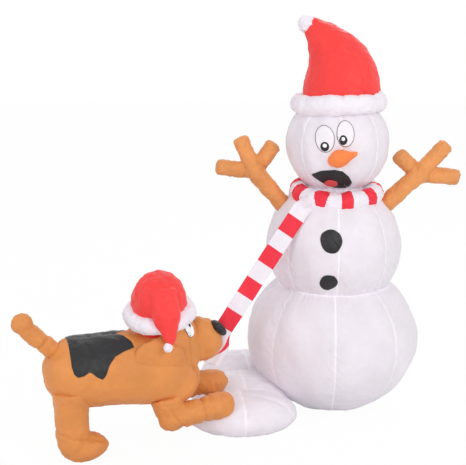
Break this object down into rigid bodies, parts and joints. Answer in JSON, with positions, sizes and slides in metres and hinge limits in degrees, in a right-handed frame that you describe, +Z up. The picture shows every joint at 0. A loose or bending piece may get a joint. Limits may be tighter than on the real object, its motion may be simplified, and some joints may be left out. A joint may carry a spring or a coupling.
{
  "type": "inflatable yard snowman",
  "caption": "Air-blown yard snowman of stacked fabric chambers with stick arms, hat and scarf, tugged by a puppy, on a snowdrift base.",
  "frame": {"origin": "on the snowman's vertical axis, at ground level", "axes": "+Z up; the snowman faces -Y; the puppy stands on the -X side"},
  "size_m": [1.5641, 0.9197, 1.473],
  "materials": {
    "white_nylon": "thin woven polyester, lit from inside",
    "red_nylon": "thin woven polyester",
    "tan_nylon": "thin woven polyester",
    "black_nylon": "thin woven polyester patch",
    "orange_nylon": "thin woven polyester",
    "plush_white": "white cuff fabric",
    "scarf_cloth": "red and white panels of the same polyester",
    "eye_print": "white patch with a printed outline and pupil",
    "tongue_red": "red patch",
    "zip_nylon": "woven tape",
    "zip_coil": "nylon coil",
    "zip_metal": "die-cast slider",
    "black_plastic": "moulded housing",
    "grey_plastic": "moulded impeller",
    "motor_steel": "motor can, an averaged density",
    "screw_steel": "zinc plated",
    "lamp_lens": "frosted LED cover"
  },
  "bodies": {
    "chambers": {"lower_body": "white_nylon", "upper_body": "white_nylon", "head": "white_nylon", "snowdrift_front": "white_nylon", "snowdrift_middle": "white_nylon", "snowdrift_rear": "white_nylon", "hat_pompom": "plush_white", "hat_brim": "plush_white", "hat_cone": "red_nylon", "scarf_collar": "scarf_cloth", "scarf_tail": "scarf_cloth", "left_eye": "eye_print", "right_eye": "eye_print", "mouth": "black_nylon", "tongue": "tongue_red", "button_upper": "black_nylon", "button_lower": "black_nylon", "carrot_nose": "orange_nylon", "dog_body": "tan_nylon", "dog_head": "tan_nylon", "dog_muzzle": "tan_nylon", "dog_nose": "black_nylon", "dog_ear_right": "tan_nylon", "dog_ear_left": "tan_nylon", "dog_eye_right": "eye_print", "dog_eye_left": "eye_print", "dog_hat_brim": "plush_white", "dog_hat_cap": "red_nylon", "dog_hat_tail": "red_nylon", "dog_hat_pompom": "plush_white", "dog_hind_leg_right": "tan_nylon", "dog_hind_leg_left": "tan_nylon", "dog_foreleg_right": "tan_nylon", "dog_foreleg_left": "tan_nylon", "dog_saddle_patch": "black_nylon", "blower_duct": "black_plastic", "blower_guard": "black_plastic", "blower_clamp": "black_plastic", "motor_spider": "black_plastic", "blower_motor": "motor_steel", "guard_screws": "screw_steel", "power_jack": "black_plastic", "zip_tape": "zip_nylon", "zip_teeth": "zip_coil", "lamp_ball": "lamp_lens", "lamp_torso": "lamp_lens", "lamp_head": "lamp_lens", "lamp_dog": "lamp_lens"},
    "left_arm": {"left_arm": "tan_nylon"},
    "right_arm": {"right_arm": "tan_nylon"},
    "dog_tail": {"dog_tail": "tan_nylon"},
    "impeller": {"impeller": "grey_plastic"},
    "zip_slider": {"zip_slider": "zip_metal"},
    "zip_pull": {"zip_pull": "zip_metal"}
  },
  "joints": [
    {"name": "left_arm_sway", "type": "hinge", "parent": "chambers", "child": "left_arm", "pos_m": [-0.1987, 0, 0.79], "axis": [0, 1, 0], "range_deg": [-12, 7], "stiffness_Nm_per_rad": 6},
    {"name": "right_arm_sway", "type": "hinge", "parent": "chambers", "child": "right_arm", "pos_m": [0.1987, 0, 0.79], "axis": [0, 1, 0], "range_deg": [-7, 12], "stiffness_Nm_per_rad": 6},
    {"name": "dog_tail_wag", "type": "hinge", "parent": "chambers", "child": "dog_tail", "pos_m": [-0.98539, -0.48557, 0.3848], "axis": [0.6725, 0.2185, 0.7071], "range_deg": [-14, 14], "stiffness_Nm_per_rad": 3},
    {"name": "impeller_spin", "type": "hinge", "parent": "chambers", "child": "impeller", "pos_m": [0, 0.266, 0.17], "axis": [0, 1, 0], "continuous": true},
    {"name": "zip_slide", "type": "hinge", "parent": "chambers", "child": "zip_slider", "pos_m": [0, 0, 0.628], "axis": [0, 0, 1], "range_deg": [0, 56]},
    {"name": "zip_pull_swing", "type": "hinge", "parent": "zip_slider", "child": "zip_pull", "pos_m": [0, 0.2621, 0.628], "axis": [1, 0, 0], "range_deg": [-10, 150]}
  ]
}
